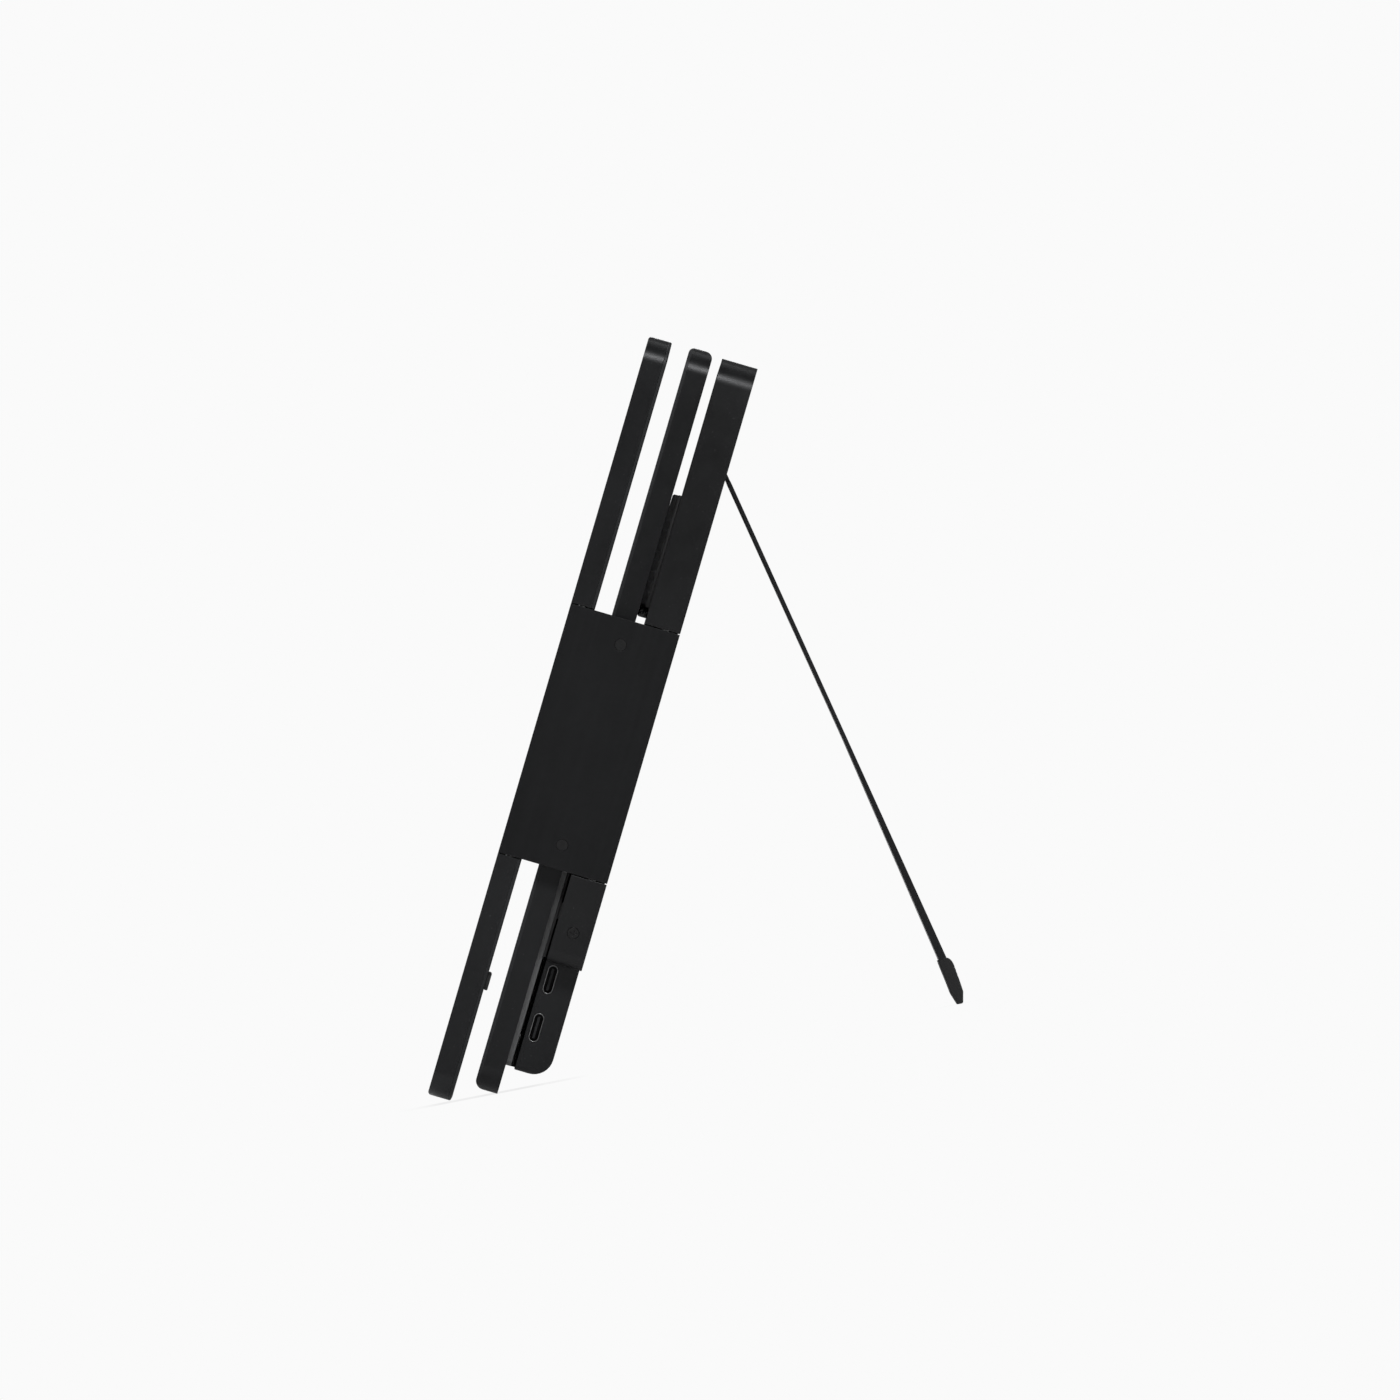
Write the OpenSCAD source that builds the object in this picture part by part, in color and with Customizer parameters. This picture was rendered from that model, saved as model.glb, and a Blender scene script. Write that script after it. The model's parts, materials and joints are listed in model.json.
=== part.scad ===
// Folding two-screen laptop stand, closed and propped on its kickstand.
// The stack is drawn upright: X runs along the screens, Y from the outer screen back to the housing,
// Z up the screens. in_stack() then leans it back onto the lower edge of the inner screen.

/* [Stance] */
// Lean of the folded stack back from vertical, in degrees
lean = 27.2; // [24:0.1:30]
// Angle between the open kickstand and the stack, in degrees
leg_open = 40.7; // [38:0.1:44]

/* [Stack] */
// Overall length of the stack along the screens
stack_w = 370; // [366:1:380]
// Width of the hinge posts on the near end of the housing
post_w = 12; // [12:0.5:13]
// Height of the folding arm along its hinges
arm_h = 77.8; // [70:0.1:80]
// Lower end of the folding arm above the foot of the stack
arm_z = 75.6; // [75:0.1:78]

/* [Screens] */
// Length of the outer screen
outer_w = 368; // [366:1:369]
// Height of the outer screen
outer_h = 237; // [235:0.5:240]
// Thickness of the outer screen
outer_t = 7.2; // [7.2:0.05:7.3]
// Length of the inner screen
inner_w = 362; // [361:1:363]
// Thickness of the inner screen
inner_t = 7.35; // [7.3:0.05:7.5]
// Lower edge of the inner screen above the foot of the stack
inner_z = 5.9; // [5.5:0.1:6.5]
// Top edge of the inner screen
inner_top = 237.5; // [236:0.5:240]
// Gap between the outer and the inner screen
screen_gap = 5.55; // [5.5:0.05:6]
// Length of the picture
view_w = 344.7; // [340:0.1:345]
// Height of the picture
view_h = 215.4; // [210:0.1:216]
// How far the inner screen slides out
slide_travel = 290; // [250:1:290]

/* [Housing] */
// Lower edge of the housing above the foot of the stack
housing_z = 14.4; // [14:0.1:15]
// Top edge of the housing
housing_top = 236.7; // [235:0.1:238]
// Depth of the hinge posts from front to back
post_t = 11.1; // [11:0.1:11.5]
// Height of the outer edge of a socket opening
socket_h = 9.2; // [9:0.1:9.4]

/* [Kickstand] */
// Width of the kickstand leg
leg_w = 32; // [28:1:32]
// Thickness of the kickstand leg at the hinge
leg_t = 1.2; // [1:0.1:1.2]
// Thickness of the kickstand leg at the foot
leg_end_t = 2.6; // [2.2:0.1:2.6]

/* [Hidden] */
$fn = 40;

shell_black = [0.09, 0.09, 0.095];
trim_black = [0.12, 0.12, 0.125];
steel = [0.62, 0.62, 0.64];
board_green = [0.05, 0.22, 0.12];
rubber_black = [0.05, 0.05, 0.05];

wall = 1.5;
gap = 0.3;
// How far the keys stand out of the far edge
key_out = 0.5;
near_x = (stack_w + key_out) / 2;
far_x = near_x - stack_w;

// The layers from front to back
outer_x = near_x - outer_w;
inner_x = far_x + inner_w;
inner_y = outer_t + screen_gap;
inner_back = inner_y + inner_t;
post_y = 22.95;
post_back = post_y + post_t;
post_x = near_x - post_w;
post_z = 48.3;
front_y = 23;
front_t = 1;
seam_y = front_y + front_t;
housing_back = post_back - 0.65;
back_wall = 1.5;

// The folding arm and its two hinge lines
arm_top = arm_z + arm_h;
notch_z = arm_z - gap;
notch_top = arm_top + gap;
screen_barrel_r = outer_t / 2;
screen_pin_x = near_x - 4.2;
screen_pin_y = outer_t / 2;
screen_pin_r = 1.25;
post_barrel_r = 5.5;
post_pin_x = near_x - post_t / 2;
post_pin_y = post_y + post_t / 2;
post_pin_r = 2;
cover_t = 1.2;
arm_skin_x = near_x - cover_t;
web_t = 2.6;
running = 0.05;
block_h = 12;
pin_end = 1.6;
spring_count = 4;
spring_t = 0.5;
spring_r = 3.6;
nut_af = 6;
nut_h = 2.2;

// The slide between the inner screen and the housing
rail_z = [64, 134];
rail_h = 16;
rail_depth = 3;
rail_lip = 0.7;
rail_base = 0.8;
rail_mouth = 6;
rail_end = post_x - wall - 0.1;
runner_w = 2 * rail_end - slide_travel - 1.3;
runner_x = rail_end - runner_w - 0.4;
stem_h = 4.8;
plate_t = 1.5;
plate_x = runner_x - 8;
plate_z = 15;
plate_top = 150;

// The sockets on the near end of the housing
socket_z = [28.3, 43.3];
socket_y = 25.75;
socket_d = 3.3;
receptacle_h = 8.94;
receptacle_d = 3.16;
receptacle_l = 8.4;
board_x = 118;
board_y = 27.35;
board_t = 1;
board_z = 18.5;
board_top = 50.5;

// The kickstand hinge, recess and foot
leg_y = 32;
leg_z = 207.5;
knuckle_r = 2;
knuckle_w = 18;
leg_pin_r = 1;
ear_w = 6.7;
recess_w = 34;
recess_y = 29.3;
recess_z = 26;
recess_top = 211.8;
foot_pocket_y = 28.3;
foot_pocket_top = 47;
leg_tilt = leg_open - lean;
foot_r = 1.1;
foot_b = -1.1;
foot_flat = 0.2;
// Sides of the foot as [distance off the hinge plane, height above the toe's centre]
foot_inner = [[-2.05, 14], [-2.35, 12.5], [-2.45, 7], [-2.6, 2.8]];
foot_outer = [[1.15, 2.2], [1.5, 6], [1.75, 9.1], [1.85, 10.9], [1.7, 12.3], [0.95, 13.5]];
taper_from = 90;

// Where the stack stands: on the lower back edge of the inner screen and on the foot
stack_z = inner_back * sin(lean) - inner_z * cos(lean);
pivot_z = stack_z - leg_y * sin(lean) + leg_z * cos(lean);
foot_a = (pivot_z + foot_b * sin(leg_tilt) - foot_r + foot_flat) / cos(leg_tilt);
edge_r = 1;
stack_front = edge_r * (cos(lean) + sin(lean) - 1);
stack_back = leg_y * cos(lean) + leg_z * sin(lean)
    + max([for (p = foot_outer) p[0] * cos(leg_tilt) + (foot_a - p[1]) * sin(leg_tilt)]);
stack_y = -(stack_front + stack_back) / 2;

// Screws on the back of the housing, as [x, z]
rear_screw_at = [[-172, 225], [-60, 225], [60, 225], [158, 225],
    [-172, 26], [-60, 26], [60, 26], [108, 26]];
board_screw_at = [[124, 24], [124, 45], [158, 35]];

// ---- Shared shapes ----

// Points of an arc, or the bare corner where the radius is nought
function arc(c, r, a0, sharp) = r <= 0 ? [sharp]
    : [for (i = [0:8]) c + r * [cos(a0 + i * 11.25), sin(a0 + i * 11.25)]];

// A rectangle with its own radius at each corner: low left, low right, top right, top left
function rounded(a, b, r) = concat(
    arc([a[0] + r[0], a[1] + r[0]], r[0], 180, a),
    arc([b[0] - r[1], a[1] + r[1]], r[1], 270, [b[0], a[1]]),
    arc([b[0] - r[2], b[1] - r[2]], r[2], 0, b),
    arc([a[0] + r[3], b[1] - r[3]], r[3], 90, [a[0], b[1]]));

module in_stack() {
    translate([0, stack_y, stack_z])
        rotate([-lean, 0, 0])
            children();
}

// Leg frame: the hinge line at the origin, the leg hanging down -Z, its outer face towards +Y
module in_leg() {
    in_stack()
        translate([0, leg_y, leg_z])
            rotate([leg_open, 0, 0])
                children();
}

module block(a, b) {
    translate(a)
        cube(b - a);
}

module along_x(x0, x1) {
    translate([x0, 0, 0])
        rotate([90, 0, 90])
            linear_extrude(x1 - x0)
                children();
}

module along_y(y0, y1) {
    translate([0, y1, 0])
        rotate([90, 0, 0])
            linear_extrude(y1 - y0)
                children();
}

module along_z(z0, z1) {
    translate([0, 0, z0])
        linear_extrude(z1 - z0)
            children();
}

// A plate whose outline lies in XZ and whose thickness runs along Y
module slab(a, b, r) {
    along_y(a.y, b.y)
        polygon(rounded([a.x, a.z], [b.x, b.z], r));
}

module rod_x(y, z, r, x0, x1) {
    translate([x0, y, z])
        rotate([0, 90, 0])
            cylinder(r = r, h = x1 - x0);
}

module rod_y(x, z, r, y0, y1) {
    translate([x, y1, z])
        rotate([90, 0, 0])
            cylinder(r = r, h = y1 - y0);
}

module rod_z(x, y, r, z0, z1) {
    translate([x, y, z0])
        cylinder(r = r, h = z1 - z0);
}

// Round-ended slot lying in YZ, for a socket
module socket_2d(h, d) {
    translate([socket_y, 0]) {
        square([d, h - d], center = true);
        for (side = [-1, 1])
            translate([0, side * (h - d) / 2])
                circle(d = d);
    }
}

// ---- Screens, in their own depth: Y is nought at the picture side and grows to the back cover ----

bezel_t = 1;
back_skin = 1.2;
glass_set = 0.25;
panel_t = 1.8;
backlight_t = 1.2;
panel_rim = 1.7;
outer_chin = 14.6;
inner_chin = 9.5;
corner_r = 7.5;

module face_back() {
    translate([0, outer_t, 0])
        mirror([0, 1, 0])
            children();
}

module face_front() {
    translate([0, inner_y, 0])
        children();
}

function view_low(x0, x1, z0) = [(x0 + x1 - view_w) / 2, z0];

module bezel(x0, x1, z0, z1, chin) {
    v = view_low(x0, x1, z0 + chin);
    difference() {
        slab([x0, 0, z0], [x1, bezel_t, z1], corner_r * [1, 1, 1, 1]);
        block([v[0], -1, v[1]], [v[0] + view_w, bezel_t + 1, v[1] + view_h]);
    }
}

module glass(x0, x1, z0, chin) {
    v = view_low(x0, x1, z0 + chin);
    m = 0.1;
    block([v[0] + m, glass_set, v[1] + m], [v[0] + view_w - m, bezel_t, v[1] + view_h - m]);
}

module panel_layer(x0, x1, z0, chin, y0, t) {
    v = view_low(x0, x1, z0 + chin);
    block([v[0] - panel_rim, y0, v[1] - panel_rim],
        [v[0] + view_w + panel_rim, y0 + t, v[1] + view_h + panel_rim]);
}

module tray(x0, x1, z0, z1, t) {
    difference() {
        slab([x0, bezel_t, z0], [x1, t, z1], corner_r * [1, 1, 1, 1]);
        slab([x0 + wall, bezel_t - 1, z0 + wall], [x1 - wall, t - back_skin, z1 - wall],
            (corner_r - wall) * [1, 1, 1, 1]);
    }
}

driver_w = 120;
driver_h = 26;
driver_t = 0.8;
chip_w = 10;
chip_t = 0.6;
plug_w = 12;
plug_h = 3;

// Driver board with its chips and two connectors
module driver_board(x, z, y) {
    block([x - driver_w / 2, y, z], [x + driver_w / 2, y + driver_t, z + driver_h]);
    for (i = [-2:2])
        block([x + (2 * i - 0.5) * chip_w, y - chip_t, z + 8],
            [x + (2 * i + 0.5) * chip_w, y, z + 8 + chip_w]);
    for (side = [-1, 1])
        translate([x + side * 0.4 * driver_w, 0, 0])
            block([-plug_w / 2, y - chip_t, z + 2], [plug_w / 2, y, z + 2 + plug_h]);
}

// Keys on the far edge: the lengths along Z of the power key and the menu key
key_power = [40, 50];
key_menu = [56, 76];
key_h = 2.4;
key_y = 3.6;
key_slack = 0.15;
key_lip = 0.8;

module key_hole(x, span) {
    block([x - 1, key_y - key_h / 2 - key_slack, span[0] - key_slack],
        [x + wall + 1, key_y + key_h / 2 + key_slack, span[1] + key_slack]);
}

module key(x, span) {
    block([x - key_out, key_y - key_h / 2, span[0]], [x + wall + 0.1, key_y + key_h / 2, span[1]]);
    block([x + wall + 0.1, key_y - key_h / 2 - key_lip / 2, span[0] - key_lip],
        [x + wall + 0.9, key_y + key_h / 2 + key_lip / 2, span[1] + key_lip]);
}

module key_board(x) {
    block([x + wall + 2.3, key_y - 1.6, key_power[0] - 3], [x + wall + 3, key_y + 1.6, key_menu[1] + 3]);
    for (z = [45, 60, 72])
        block([x + wall + 1.5, key_y - 1, z - 1.5], [x + wall + 2.3, key_y + 1, z + 1.5]);
}

bumper_r = 2.8;
bumper_z = 37.7;
bumper_t = 1.1;

// ---- Outer screen ----

notch_x = screen_pin_x - screen_barrel_r - gap;
outer_x_in = near_x - wall - 0.1;

module outer_notch() {
    block([notch_x, -1, notch_z], [near_x + 1, outer_t + 1, notch_top]);
}

// Rounded front and back edges of the outer screen
module outer_profile() {
    along_x(outer_x - 1, near_x + 1)
        polygon(rounded([0, 0], [outer_t, outer_h], [edge_r, 0.5, 0.5, edge_r]));
}

module outer_back_cover() {
    color(shell_black)
        in_stack()
            difference() {
                intersection() {
                    face_back()
                        union() {
                            tray(outer_x, near_x, 0, outer_h, outer_t);
                            block([notch_x - wall, bezel_t, notch_z - wall],
                                [near_x - 0.5, outer_t, notch_top + wall]);
                        }
                    outer_profile();
                }
                outer_notch();
                rod_z(screen_pin_x, screen_pin_y, screen_pin_r + 0.15, notch_z - 5, notch_top + 5);
                face_back() {
                    key_hole(outer_x, key_power);
                    key_hole(outer_x, key_menu);
                }
            }
}

module outer_bezel() {
    color(trim_black)
        in_stack()
            difference() {
                intersection() {
                    face_back()
                        bezel(outer_x, near_x, 0, outer_h, outer_chin);
                    outer_profile();
                }
                outer_notch();
            }
}

module outer_glass() {
    color([0.02, 0.02, 0.03])
        in_stack()
            face_back()
                glass(outer_x, near_x, 0, outer_chin);
}

module outer_panel() {
    color([0.04, 0.04, 0.06])
        in_stack()
            face_back()
                panel_layer(outer_x, near_x, 0, outer_chin, bezel_t, panel_t);
}

module outer_backlight() {
    color(steel)
        in_stack()
            face_back()
                panel_layer(outer_x, near_x, 0, outer_chin, bezel_t + panel_t, backlight_t);
}

module outer_board() {
    color(board_green)
        in_stack()
            face_back()
                driver_board(0, 18, 4.9);
}

// Steel blocks above and below the arm that turn on the screen pin
module outer_hinge_blocks() {
    color(steel)
        in_stack()
            difference() {
                for (z = [notch_z - wall - block_h, notch_top + wall])
                    block([screen_pin_x - 3, 1.3, z], [outer_x_in, outer_t - 1.3, z + block_h]);
                rod_z(screen_pin_x, screen_pin_y, screen_pin_r + running, 0, outer_h);
                outer_screw_cuts();
            }
}

outer_block_screw_z = [notch_z - wall - block_h + 2.5, notch_z - wall - 2.5,
    notch_top + wall + 2.5, notch_top + wall + block_h - 2.5];

module outer_screw_cuts() {
    for (z = outer_block_screw_z)
        rod_y(outer_x_in - 0.6, z, 0.3, 1, outer_t - 1);
}

module outer_block_screws() {
    color(steel)
        in_stack()
            for (z = outer_block_screw_z)
                rod_y(outer_x_in - 0.6, z, 0.28, 1.3, outer_t - 1.3);
}

module outer_bumpers() {
    color(rubber_black)
        in_stack()
            for (x = [outer_x + 5.5, near_x - 5.5])
                rod_y(x, bumper_z, bumper_r, outer_t, outer_t + bumper_t);
}

module outer_key_board() {
    color(board_green)
        in_stack()
            face_back()
                key_board(outer_x);
}

module outer_power_key() {
    color(trim_black)
        in_stack()
            face_back()
                key(outer_x, key_power);
}

module outer_menu_key() {
    color(trim_black)
        in_stack()
            face_back()
                key(outer_x, key_menu);
}

// ---- Inner screen ----

module inner_profile() {
    along_x(far_x - 1, inner_x + 1)
        polygon(rounded([inner_y, inner_z], [inner_back, inner_top], [2.7, 0, 2.3, 1.7]));
}

module inner_back_cover() {
    color(shell_black)
        in_stack()
            difference() {
                intersection() {
                    face_front()
                        tray(far_x, inner_x, inner_z, inner_top, inner_t);
                    inner_profile();
                }
                face_front() {
                    key_hole(far_x, key_power);
                    key_hole(far_x, key_menu);
                }
                for (z = carriage_screw_z, x = carriage_screw_x)
                    rod_y(x, z, 1.02, inner_back - back_skin - 1, inner_back + 1);
            }
}

module inner_bezel() {
    color(trim_black)
        in_stack()
            intersection() {
                face_front()
                    bezel(far_x, inner_x, inner_z, inner_top, inner_chin);
                inner_profile();
            }
}

module inner_glass() {
    color([0.02, 0.02, 0.03])
        in_stack()
            face_front()
                glass(far_x, inner_x, inner_z, inner_chin);
}

module inner_panel() {
    color([0.04, 0.04, 0.06])
        in_stack()
            face_front()
                panel_layer(far_x, inner_x, inner_z, inner_chin, bezel_t, panel_t);
}

module inner_backlight() {
    color(steel)
        in_stack()
            face_front()
                panel_layer(far_x, inner_x, inner_z, inner_chin, bezel_t + panel_t, backlight_t);
}

module inner_board() {
    color(board_green)
        in_stack()
            face_front()
                driver_board(-10, 18, 5);
}

module inner_bumpers() {
    color(rubber_black)
        in_stack()
            for (x = [far_x + 12, plate_x - 14])
                rod_y(x, bumper_z, bumper_r, inner_back, inner_back + bumper_t);
}

module inner_key_board() {
    color(board_green)
        in_stack()
            face_front()
                key_board(far_x);
}

module inner_power_key() {
    color(trim_black)
        in_stack()
            face_front()
                key(far_x, key_power);
}

module inner_menu_key() {
    color(trim_black)
        in_stack()
            face_front()
                key(far_x, key_menu);
}

// ---- Carriage that carries the inner screen along the rails ----

carriage_screw_x = [plate_x + 5, post_x - 5];
carriage_screw_z = [24, 99, 146];
carriage_y = inner_back + plate_t;

// Sheet with its inner edge folded back to just short of the front cover
module carriage_plate() {
    color(steel)
        in_stack()
            difference() {
                union() {
                    slab([plate_x, inner_back, plate_z], [post_x, carriage_y, plate_top], [0, 2, 2, 0]);
                    block([plate_x, carriage_y, plate_z], [plate_x + plate_t, front_y - 0.4, plate_top]);
                }
                for (z = carriage_screw_z, x = carriage_screw_x)
                    rod_y(x, z, 1.02, inner_back - 1, carriage_y + 1);
            }
}

module carriage_screws() {
    color(steel)
        in_stack()
            for (z = carriage_screw_z, x = carriage_screw_x) {
                rod_y(x, z, 1, inner_back - back_skin, carriage_y);
                rod_y(x, z, 1.9, carriage_y, carriage_y + 0.5);
            }
}

head_y = seam_y + rail_lip + 0.2;
head_t = rail_depth - rail_lip - rail_base - 0.4;

// T-shaped sliders, each with its stem through the slot in the front cover
module carriage_runners() {
    color([0.85, 0.85, 0.82])
        in_stack()
            for (z = rail_z) {
                block([runner_x, carriage_y, z - stem_h / 2], [runner_x + runner_w, head_y, z + stem_h / 2]);
                block([runner_x, head_y, z - rail_h / 2 + 1.4],
                    [runner_x + runner_w, head_y + head_t, z + rail_h / 2 - 1.4]);
            }
}

// ---- Housing ----

module slide_slots() {
    for (z = rail_z)
        block([-rail_end, front_y - 1, z - stem_h / 2 - 0.4], [rail_end, seam_y + 1, z + stem_h / 2 + 0.4]);
}

boss_r = 2.6;
screw_r = 1;
// Rib that overlaps the carriage's folded edge and keeps dust out of the slides
dust_rib_x = plate_x + plate_t + 2.2;

module front_cover() {
    color(shell_black)
        in_stack()
            difference() {
                union() {
                    slab([far_x, front_y, housing_z], [post_x, seam_y, housing_top], [corner_r, 2, 0, corner_r]);
                    block([dust_rib_x, front_y - 0.7, plate_z], [dust_rib_x + 2, front_y + 0.1, plate_top]);
                    for (p = rear_screw_at)
                        rod_y(p[0], p[1], boss_r, seam_y, housing_back - back_wall);
                }
                slide_slots();
                for (p = rear_screw_at)
                    rod_y(p[0], p[1], screw_r + 0.02, seam_y + 0.5, housing_back);
            }
}

// Lower back edge of the housing is fully rounded, the upper one lightly
module housing_profile() {
    along_x(far_x - 1, near_x + 1)
        polygon(rounded([front_y - 1, housing_z], [housing_back, housing_top], [0, 6, 1.2, 0]));
}

module kickstand_recess() {
    block([-recess_w / 2, recess_y, recess_z], [recess_w / 2, housing_back + 1, recess_top]);
    block([-recess_w / 2, foot_pocket_y, recess_z - 1], [recess_w / 2, housing_back + 1, foot_pocket_top]);
    // Finger scoops either side of the foot
    for (side = [-1, 1])
        rod_y(side * recess_w / 2, 34, 7, recess_y + 1.6, housing_back + 1);
}

module rear_housing() {
    color(shell_black)
        in_stack()
            difference() {
                intersection() {
                    union() {
                        difference() {
                            slab([far_x, seam_y, housing_z], [post_x, housing_back, housing_top],
                                [corner_r, 2, 0, corner_r]);
                            slab([far_x + wall, seam_y - 1, housing_z + wall],
                                [post_x - wall, housing_back - back_wall, housing_top - wall],
                                [corner_r - wall, 0.5, 0, corner_r - wall]);
                        }
                        block([-recess_w / 2 - 1.2, recess_y - 0.9, recess_z - 1.2],
                            [recess_w / 2 + 1.2, housing_back - 0.5, recess_top + 1.2]);
                        block([-recess_w / 2 - 1.2, foot_pocket_y - 1, recess_z - 2.2],
                            [recess_w / 2 + 1.2, housing_back - 0.5, foot_pocket_top + 1.2]);
                        for (side = [-1, 1])
                            rod_y(side * recess_w / 2, 34, 8.2, recess_y + 0.4, housing_back - 0.5);
                        for (p = board_screw_at)
                            rod_y(p[0], p[1], 2.4, board_y + board_t, housing_back - 0.5);
                    }
                    housing_profile();
                }
                kickstand_recess();
                for (z = socket_z)
                    along_x(post_x - wall - 1, post_x + 1)
                        translate([0, z])
                            socket_2d(socket_h, socket_d);
                for (p = rear_screw_at) {
                    rod_y(p[0], p[1], screw_r + 0.2, housing_back - back_wall - 1, housing_back + 1);
                    rod_y(p[0], p[1], 2.6, housing_back - 0.9, housing_back + 1);
                }
                for (p = board_screw_at)
                    rod_y(p[0], p[1], 0.82, board_y, housing_back - back_wall);
                for (z = upper_post_screw_z)
                    rod_x(post_pin_y, z, 1.02, post_x - wall - 1, post_x + 1);
                rod_x(side_screw_y, side_screw_z, 1.02, post_x - wall - 1, post_x + 1);
                for (z = bracket_screw_z, x = bracket_screw_x)
                    rod_y(x, z, 0.82, recess_y - 2, recess_y + 1);
            }
}

module rear_screws() {
    color(steel)
        in_stack()
            for (p = rear_screw_at) {
                rod_y(p[0], p[1], screw_r, seam_y + 1, housing_back - 0.9);
                difference() {
                    rod_y(p[0], p[1], 2.4, housing_back - 0.9, housing_back - 0.2);
                    screw_cross(p[0], p[1], housing_back - 0.2);
                }
            }
}

// Cross recess in a screw head that faces +Y
module screw_cross(x, z, y) {
    block([x - 1.2, y - 0.4, z - 0.25], [x + 1.2, y + 1, z + 0.25]);
    block([x - 0.25, y - 0.4, z - 1.2], [x + 0.25, y + 1, z + 1.2]);
}

upper_post_screw_z = [181, 219];
side_screw_y = 28.4;
side_screw_z = 58.6;
post_cavity_x = near_x - 1.6;

module post_outline(z0, z1, r_low, r_top) {
    along_y(post_y, post_back)
        polygon(rounded([post_x, z0], [near_x, z1], [0, r_low, r_top, 0]));
}

module post_cavity(z0, z1) {
    block([post_x - 1, post_y + wall, z0], [post_cavity_x, post_back - wall, z1]);
}

module upper_post() {
    color(shell_black)
        in_stack()
            difference() {
                post_outline(notch_top, housing_top, 0, corner_r);
                post_cavity(notch_top + wall, upper_post_screw_z[0] - 5);
                post_cavity(upper_post_screw_z[0] + 5, upper_post_screw_z[1] - 5);
                rod_z(post_pin_x, post_pin_y, post_pin_r + 0.2, notch_top - 1, notch_top + wall + 1);
                for (z = upper_post_screw_z)
                    rod_x(post_pin_y, z, 1.02, post_x - 1, post_x + 8);
            }
}

module lower_post() {
    color(shell_black)
        in_stack()
            difference() {
                post_outline(post_z, notch_z, 4.3, 0);
                post_cavity(post_z + wall, notch_z - wall);
                rod_z(post_pin_x, post_pin_y, post_pin_r + 0.2, notch_z - wall - 1, notch_z + 1);
                rod_x(side_screw_y, side_screw_z, 1.02, post_x - 1, near_x + 1);
                rod_x(side_screw_y, side_screw_z, 1.8, near_x - 0.8, near_x + 1);
            }
}

module post_side_screw() {
    color(steel)
        in_stack()
            difference() {
                union() {
                    rod_x(side_screw_y, side_screw_z, 1, post_x - wall, near_x - 0.8);
                    rod_x(side_screw_y, side_screw_z, 1.7, near_x - 0.8, near_x - 0.1);
                }
                block([near_x - 0.5, side_screw_y - 1, side_screw_z - 0.2],
                    [near_x + 1, side_screw_y + 1, side_screw_z + 0.2]);
                block([near_x - 0.5, side_screw_y - 0.2, side_screw_z - 1],
                    [near_x + 1, side_screw_y + 0.2, side_screw_z + 1]);
            }
}

module post_inner_screws() {
    color(steel)
        in_stack()
            for (z = upper_post_screw_z) {
                rod_x(post_pin_y, z, 1, post_x - wall, post_x + 7);
                rod_x(post_pin_y, z, 1.9, post_x - wall - 1.2, post_x - wall);
            }
}

module post_hinge_blocks() {
    color(steel)
        in_stack()
            difference() {
                for (z = [notch_z - wall - block_h, notch_top + wall])
                    block([post_x + 0.2, post_y + wall, z], [post_cavity_x, post_back - wall, z + block_h]);
                rod_z(post_pin_x, post_pin_y, post_pin_r + running, 0, housing_top);
            }
}

module slide_rails() {
    color(steel)
        in_stack()
            for (z = rail_z)
                difference() {
                    block([-rail_end, seam_y, z - rail_h / 2], [rail_end, seam_y + rail_depth, z + rail_h / 2]);
                    block([-rail_end - 1, seam_y - 1, z - rail_mouth / 2],
                        [rail_end + 1, seam_y + rail_lip + 0.5, z + rail_mouth / 2]);
                    block([-rail_end - 1, seam_y + rail_lip, z - rail_h / 2 + 1],
                        [rail_end + 1, seam_y + rail_depth - rail_base, z + rail_h / 2 - 1]);
                }
}

pad_z = 158.6;
pad_top = 193.8;
// The pad is thinner at its near end, where the lid slides on
pad_y = 21.7;
pad_crown_y = inner_back + 0.12;
pad_step_x = post_x - 16;

// Soft strip that the lid of the laptop rests on
module lid_rest_pad() {
    color([0.16, 0.16, 0.165])
        in_stack()
            intersection() {
                slab([far_x + 4, pad_crown_y, pad_z], [post_x - 1, front_y, pad_top], [3, 3, 3, 3]);
                along_z(pad_z, pad_top)
                    polygon([[far_x, pad_crown_y], [pad_step_x, pad_crown_y], [pad_step_x + 4, pad_y],
                        [post_x, pad_y], [post_x, front_y], [far_x, front_y]]);
            }
}

module lid_magnets() {
    color([0.7, 0.7, 0.72])
        in_stack()
            for (x = [-120, -60, 60, 120])
                rod_y(x, (pad_z + pad_top) / 2, 6, seam_y, seam_y + 2);
}

module main_board() {
    color(board_green)
        in_stack()
            difference() {
                union() {
                    block([board_x, board_y, board_z], [rail_end - 0.3, board_y + board_t, board_top]);
                    for (x = [128, 143], z = [27, 38])
                        block([x, board_y - 1.4, z], [x + 9, board_y, z + 7]);
                    block([board_x + 1, board_y - 2, 31], [board_x + 5, board_y, 41]);
                }
                for (p = board_screw_at)
                    rod_y(p[0], p[1], 0.82, board_y - 1, board_y + board_t + 1);
            }
}

module board_screws() {
    color(steel)
        in_stack()
            for (p = board_screw_at) {
                rod_y(p[0], p[1], 0.8, board_y, housing_back - back_wall - 0.2);
                rod_y(p[0], p[1], 1.5, board_y - 0.7, board_y);
            }
}

module usb_c_shells() {
    color(steel)
        in_stack()
            for (z = socket_z)
                difference() {
                    along_x(post_x - 0.1 - receptacle_l, post_x - 0.1)
                        translate([0, z])
                            socket_2d(receptacle_h, receptacle_d);
                    along_x(post_x - receptacle_l + 1, post_x + 1)
                        translate([0, z])
                            socket_2d(receptacle_h - 0.6, receptacle_d - 0.6);
                }
}

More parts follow.
